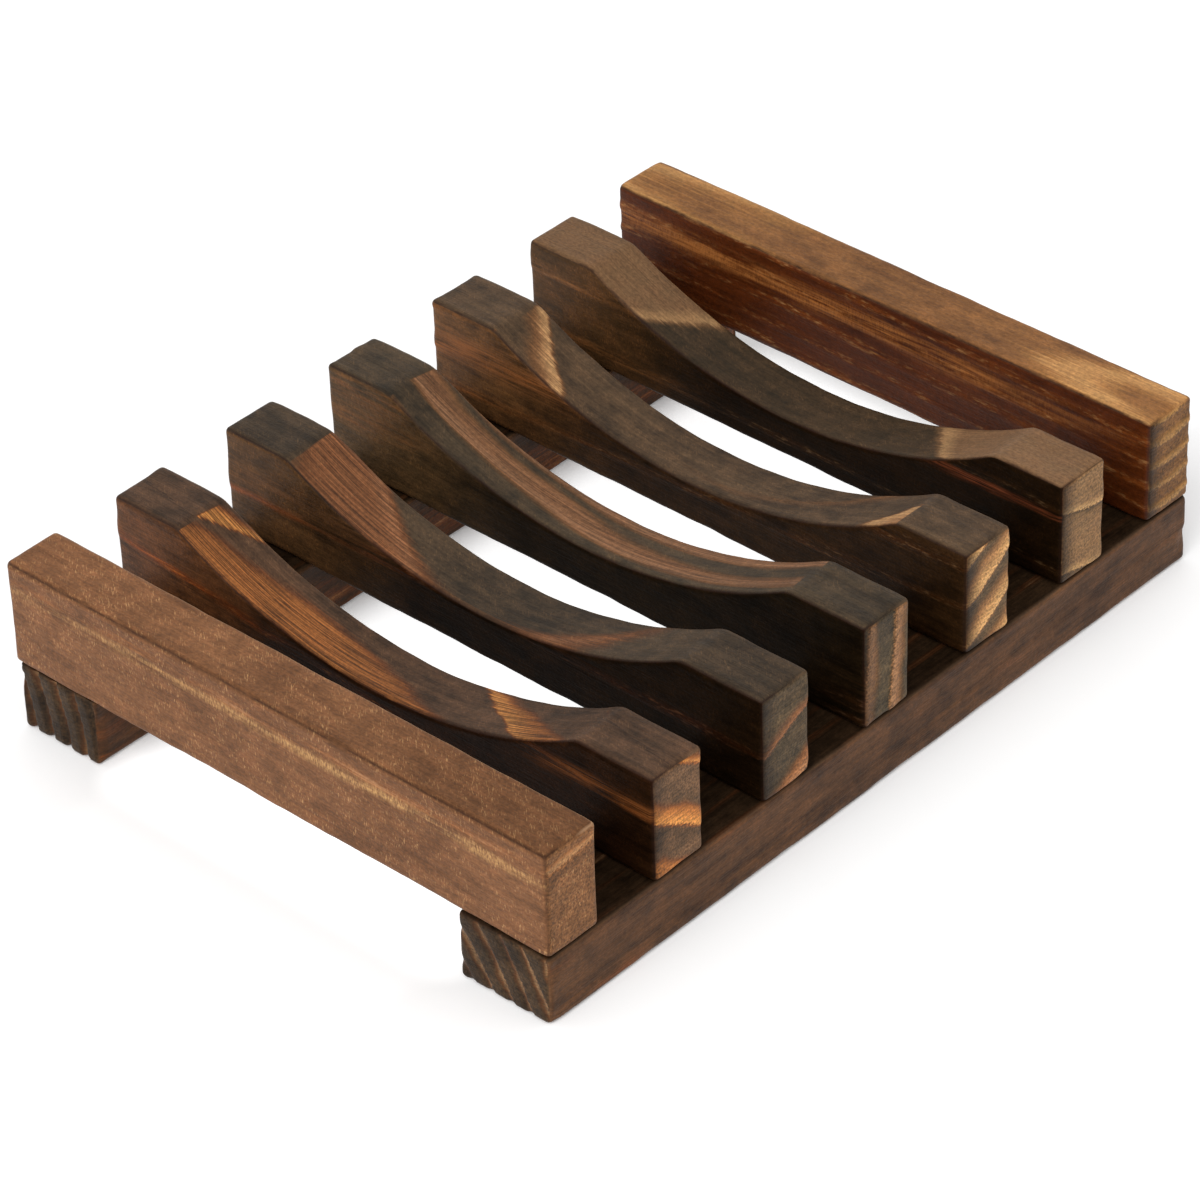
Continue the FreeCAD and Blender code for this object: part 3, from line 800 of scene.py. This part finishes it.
slat_looks = {
    "left_end_slat": {
        "burn": ("#67432a", "#875c3e", "#845432", "#986745", "#a97a54"),
        "reach": 3.0,
        "soft": 1.0,
        "brink": 0.4,
        "end brink": 1.0,
        "patches": 0.4,
        "lines": 0.15,
        "seams": 0.0,
        "ticks": 0.62,
        "side": "#fbfcff",
        "painted_shading": 0.0,
        "top front": 0.72,
        "end": 1.12,
        "scorch": 0.25,
        "near": 0.7,
        "far": 0.6,
        "streak": 0.75,
        "streak height": 3.4,
        "streak width": 1.2,
        "streak from": 110.0,
        "streak to": -10.0,
        "glow": "#cfa066",
        "hatch": 0.9,
    },
    "scooped_slat_1": {
        "burn": ("#34251a", "#5d4433", "#643a20", "#935b30", "#b67b43"),
        "reach": 2.2,
        "soft": 1.7,
        "brink": 0.4,
        "patches": 0.6,
        "drift": 1.4,
        "drift slope": 0.093,
        "end drift": 1.5,
        "lines": 0.75,
        "seams": 0.6,
        "ticks": 0.12,
        "sparks": 0.6,
        "side": "#ffe0bc",
        "painted_shading": 0.75,
        "end": 1.68,
        "scorch": 0.6,
        "far": 0.15,
        "streak": 0.72,
        "streak height": 2.4,
        "streak width": 1.8,
        "streak from": -20.0,
        "streak to": -32.0,
        "glow": "#96582c",
    },
    "scooped_slat_2": {
        "burn": ("#2c231a", "#4d3e2f", "#613d25", "#7d5033", "#8c6043"),
        "reach": 2.0,
        "soft": 2.5,
        "brink": 1.2,
        "end brink": 0.6,
        "patches": 0.8,
        "drift": -1.5,
        "drift slope": -0.09,
        "end drift": 1.6,
        "lines": 0.6,
        "seams": 0.3,
        "side": "#fbdcb6",
        "end": 1.66,
        "scorch": 0.8,
        "streak": 0.35,
        "streak height": 1.0,
        "streak width": 3.5,
        "streak from": 12.0,
        "streak to": 34.0,
        "glow": "#80502f",
    },
    "scooped_slat_3": {
        "burn": ("#2c241b", "#4e4030", "#5f4128", "#785339", "#876248"),
        "reach": 2.5,
        "soft": 2.0,
        "brink": 1.3,
        "patches": 0.7,
        "drift": -3.0,
        "lines": 0.5,
        "seams": 0.3,
        "ticks": 0.08,
        "side": "#fdeace",
        "end": 1.42,
        "scorch": 0.7,
        "streak": 0.15,
        "streak height": 2.5,
        "streak width": 3.5,
        "streak from": 14.0,
        "streak to": 36.0,
        "glow": "#7d5233",
    },
    "scooped_slat_4": {
        "burn": ("#34271c", "#5c4835", "#65452b", "#8c6443", "#b38a60"),
        "reach": 2.6,
        "soft": 2.4,
        "brink": 0.6,
        "patches": 0.5,
        "drift": -3.6,
        "lines": 0.4,
        "seams": 0.2,
        "side": "#fde0ba",
        "painted_shading": 0.65,
        "end": 1.58,
        "scorch": 0.92,
        "streak": 0.85,
        "streak height": 2.0,
        "streak width": 3.6,
        "streak from": 10.0,
        "streak to": 34.0,
        "glow": "#945a31",
    },
    "scooped_slat_5": {
        "burn": ("#30261a", "#4b3a29", "#6a4e34", "#785a40", "#a8835c"),
        "reach": 1.5,
        "soft": 3.0,
        "brink": 0.7,
        "end brink": 0.5,
        "patches": 0.9,
        "drift": -8.0,
        "lines": 0.15,
        "seams": 0.2,
        "sparks": 0.6,
        "side": "#fbdebc",
        "top": 0.86,
        "end": 1.32,
        "scorch": 0.9,
        "streak": 0.75,
        "streak height": 2.7,
        "streak width": 1.0,
        "streak from": -20.0,
        "streak to": -30.0,
        "glow": "#8f4a2c",
    },
    "right_end_slat": {
        "burn": ("#6d4729", "#95673d", "#95673b", "#aa7b4b", "#bc8c59"),
        "reach": 2.0,
        "soft": 0.9,
        "brink": 0.5,
        "end brink": 0.6,
        "patches": 0.3,
        "lines": 0.2,
        "seams": 0.0,
        "sparks": 0.6,
        "side": "#9c7252",
        "painted_shading": 0.0,
        "top": 0.9,
        "end": 0.72,
        "scorch": 0.95,
        "near": 0.85,
        "streak": 0.95,
        "streak height": 3.4,
        "streak width": 2.6,
        "streak from": -44.0,
        "streak to": -12.0,
        "glow": "#ad6c36",
        "hatch": 0.35,
    },
}
# Span from lip to lip, height left under the scoop, its middle along the slat, and the roundness of its lips
scoops = {
    "scooped_slat_1": (65.0, 6.3, 0.5, 0.6),
    "scooped_slat_2": (64.0, 6.5, 1.0, 1.0),
    "scooped_slat_3": (65.0, 6.3, 0.7, 1.0),
    "scooped_slat_4": (66.0, 6.0, 0.0, 0.9),
    "scooped_slat_5": (66.0, 6.0, 0.0, 0.8),
}
# Every slat has its own noises, in its wood and in its shape
WOOD_SEED = 11.3
WOOD_SEED_STEP = 2.7
SHAPE_SEED = 0.4
SHAPE_SEED_STEP = 1.9
for index, node in enumerate(slat_nodes):
    settings = slat_sawing | slat_bars[node] | {"Seed": SHAPE_SEED_STEP * index + SHAPE_SEED}
    if node in scoops:
        span, waist, middle, lip = scoops[node]
        low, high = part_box(node)
        depth = (high.z - low.z) / MM - waist
        scoop_radius = (span**2 / 4 + depth**2) / (2 * depth)
        settings |= {"Waist": waist, "Scoop radius": scoop_radius, "Scoop middle": middle, "Lip": lip}
    look = slat_burning | slat_looks[node]
    pine = scorched_pine(
        f"scorched pine of {node}", settings["Ring"], WOOD_SEED + WOOD_SEED_STEP * index, look
    )
    lay_bar(node, False, settings, pine)

# Brads
# Bright drawn-steel wire nails with a T head, punched up through the rails into the slats.
# Only the heads are seen, from below, at the bottom of their punch marks.

BRAD = {"Thickness": 1.0, "Breadth": 1.2, "Head": 2.0, "Head height": 0.7, "Point": 1.6}
brad_tree = bpy.data.node_groups.new("row of brads", "GeometryNodeTree")
brad_tree.interface.new_socket(name="Crossings", in_out="INPUT", socket_type="NodeSocketGeometry")
for name in [*BRAD, "Length"]:
    brad_tree.interface.new_socket(name=name, in_out="INPUT", socket_type="NodeSocketFloat")
brad_tree.interface.new_socket(name="Material", in_out="INPUT", socket_type="NodeSocketMaterial")
brad_tree.interface.new_socket(name="Brads", in_out="OUTPUT", socket_type="NodeSocketGeometry")
given = brad_tree.nodes.new("NodeGroupInput").outputs
forge = partial(put, brad_tree)

# One brad: a gridded block in four layers, narrow above the head and drawn to a chisel at the top.
# Levels 0 and 1 bound the head, the shank starts at 2 and the point at 3, and 4 is the tip
LAYERS = 4
NECK = 0.02  # mm, over which the head turns into the shank
TIP = 0.12  # of the breadth
blank = forge("ShaderNodeCombineXYZ", {0: given["Thickness"], 1: given["Breadth"], 2: 1.0})
blank = forge("GeometryNodeMeshCube", {0: blank, 1: 2, 2: 2, 3: LAYERS + 1})
layer = forge("ShaderNodeSeparateXYZ", {0: forge("GeometryNodeInputPosition", {})})
level = forge("ShaderNodeMath", {0: layer.outputs[2], 1: LAYERS, 2: LAYERS / 2}, operation="MULTIPLY_ADD")
level = forge("ShaderNodeMath", {0: level}, operation="ROUND")
pointed = forge("ShaderNodeMath", {0: given["Length"], 1: given["Point"]}, operation="SUBTRACT")
neck = forge("ShaderNodeMath", {0: given["Head height"], 1: NECK}, operation="ADD")
heights = forge("GeometryNodeIndexSwitch", {0: level, 1: 0.0}, data_type="FLOAT")
for layer_above in range(LAYERS - 1):
    heights.index_switch_items.new()
for index, value in enumerate([given["Head height"], neck, pointed, given["Length"]]):
    source = value.outputs[0] if isinstance(value, bpy.types.Node) else value
    brad_tree.links.new(source, heights.inputs[2 + index])
is_head = forge("ShaderNodeMath", {0: level, 1: 1.5}, operation="LESS_THAN")
is_tip = forge("ShaderNodeMath", {0: level, 1: 3.5}, operation="GREATER_THAN")
head_share = forge("ShaderNodeMath", {0: given["Head"], 1: given["Breadth"]}, operation="DIVIDE")
widen = forge("ShaderNodeMix", {0: is_head, 2: 1.0, 3: head_share}, data_type="FLOAT")
widen = forge("ShaderNodeMix", {0: is_tip, 2: widen, 3: TIP}, data_type="FLOAT")
breadth = forge("ShaderNodeMath", {0: layer.outputs[1], 1: widen}, operation="MULTIPLY")
drawn = forge("ShaderNodeCombineXYZ", {0: layer.outputs[0], 1: breadth, 2: heights})
brad = forge("GeometryNodeSetPosition", {"Geometry": blank.outputs["Mesh"], "Position": drawn})
brads = forge("GeometryNodeInstanceOnPoints", {"Points": given["Crossings"], "Instance": brad})
brads = forge("GeometryNodeTransform", {"Geometry": brads, "Scale": (MM, MM, MM)})
brads = forge("GeometryNodeRealizeInstances", {"Geometry": brads})
brads = forge("GeometryNodeSetMaterial", {"Geometry": brads, "Material": given["Material"]})
forge("NodeGroupOutput", {0: brads})

# Bright steel: a grey mirror blurred by the drawing, which picks up the warm wood round it
steel = bpy.data.materials.new("drawn steel")
steel.use_nodes = True
steel_shader = steel.node_tree.nodes["Principled BSDF"]
steel_shader.inputs["Base Color"].default_value = linear("#b9b6b1")
steel_shader.inputs["Metallic"].default_value = 1.0
steel_shader.inputs["Roughness"].default_value = 0.34

for node in ("front_rail_brads", "rear_rail_brads"):
    low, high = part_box(node)
    crossings = [(middle, (low.y + high.y) / 2 / MM, low.z / MM) for middle in slat_middles]
    brad_values = BRAD | {"Length": (high.z - low.z) / MM, "Material": steel}
    row = grow(node, brad_tree, crossings, brad_values)
    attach(row, "root")
    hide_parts(node)

# Floor
# A plain white board that the dish stands on, which stays white in the camera's view past the contact shadow
# # and through the gaps between the slats: it glows for the camera, and under the dish it glows more, as
# light
# # painted over the dish's shadow.

FLOOR_HALF = 3.0  # m
LIFT = 0.1  # of white, that the board gives back to the camera outside the dish
# Painted light: under the dish the board glows more, over the shadow that falls in the gaps
GAP_LIFT = 0.75  # and in the gaps
# From the middle of the dish to where the lift of the gaps starts to fade, and to where it has faded
GAP_END = 24 * MM
GAP_GONE = 33 * MM
SIDE_START = 56 * MM
SIDE_GONE = 64 * MM
SIDE_SHARE = 0.2  # of the lift, that is left past the end slats
floor_mesh = bpy.data.meshes.new("floor")
floor_corners = [(-1, -1), (1, -1), (1, 1), (-1, 1)]
floor_mesh.from_pydata([(x * FLOOR_HALF, y * FLOOR_HALF, 0.0) for x, y in floor_corners], [], [(0, 1, 2, 3)])
floor = bpy.data.objects.new("floor", floor_mesh)
bpy.context.scene.collection.objects.link(floor)
board = bpy.data.materials.new("white board")
board.use_nodes = True
board_tree = board.node_tree
board_tree.nodes.clear()
paint = put(board_tree, "ShaderNodeBsdfDiffuse", {"Color": linear("#f4f4f4")})
seen = put(board_tree, "ShaderNodeLightPath", {})
spot = put(board_tree, "ShaderNodeTexCoord", {})
spot = put(board_tree, "ShaderNodeVectorMath", {0: spot.outputs["Object"]}, operation="ABSOLUTE")
spot = put(board_tree, "ShaderNodeSeparateXYZ", {0: spot})
lift = put(
    board_tree,
    "ShaderNodeMapRange",
    {0: spot.outputs[1], 1: GAP_GONE, 2: GAP_END, 3: LIFT, 4: GAP_LIFT},
    interpolation_type="SMOOTHSTEP",
)
beside = put(
    board_tree,
    "ShaderNodeMapRange",
    {0: spot.outputs[0], 1: SIDE_START, 2: SIDE_GONE, 3: 1.0, 4: SIDE_SHARE},
    interpolation_type="SMOOTHSTEP",
)
lift = put(board_tree, "ShaderNodeMath", {0: lift, 1: beside}, operation="MULTIPLY")
lift = put(board_tree, "ShaderNodeMath", {0: lift, 1: LIFT}, operation="MAXIMUM")
# Steel and lacquer see the board as the camera does
shown = seen.outputs["Is Camera Ray"]
for ray in ("Is Glossy Ray", "Is Transmission Ray"):
    shown = put(board_tree, "ShaderNodeMath", {0: shown, 1: seen.outputs[ray]}, operation="MAXIMUM")
lift = put(board_tree, "ShaderNodeMath", {0: shown, 1: lift}, operation="MULTIPLY")
glow = put(board_tree, "ShaderNodeEmission", {"Color": linear(NO_TINT), "Strength": lift})
board_shader = put(board_tree, "ShaderNodeAddShader", {0: paint, 1: glow})
put(board_tree, "ShaderNodeOutputMaterial", {"Surface": board_shader})
floor_mesh.materials.append(board)
floor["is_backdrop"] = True

# Light
# A white tent all round, with one large soft box high at the left, in front of the dish.

world = bpy.data.worlds.new("white tent")
bpy.context.scene.world = world
world.use_nodes = True
tent = world.node_tree.nodes["Background"]
tent.inputs["Color"].default_value = linear(NO_TINT)
tent.inputs["Strength"].default_value = 0.92
key = bpy.data.lights.new("soft box", "AREA")
key.shape = "DISK"
key.size = 0.7
key.energy = 6.0
soft_box = bpy.data.objects.new("soft box", key)
soft_box.location = (-0.75, -0.25, 0.85)
soft_box.rotation_euler = (-soft_box.location).to_track_quat("-Z", "Y").to_euler()
bpy.context.scene.collection.objects.link(soft_box)

# Camera
# A long lens from the left front corner, looking down on the dish, held a little out of level.

CAMERA_PLACE = Vector((-0.39344, -0.36946, 0.40099))
CAMERA_AIM = Vector((0.58691, 0.55414, -0.59031))
CAMERA_ROLL = math.radians(-2.13)
lens = bpy.data.cameras.new("long lens")
lens.lens = 162.53
lens.sensor_width = 36.0
lens.clip_start = 0.05
lens.clip_end = 20.0
camera = bpy.data.objects.new("camera", lens)
camera.location = CAMERA_PLACE
aim = CAMERA_AIM.to_track_quat("-Z", "Y")
camera.rotation_euler = (aim @ Quaternion((0.0, 0.0, 1.0), CAMERA_ROLL)).to_euler()
bpy.context.scene.collection.objects.link(camera)
bpy.context.scene.camera = camera
bpy.context.scene.view_settings.view_transform = "Standard"

# Sizes
# The bounds of what the scene shows, without the floor.

low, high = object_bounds()
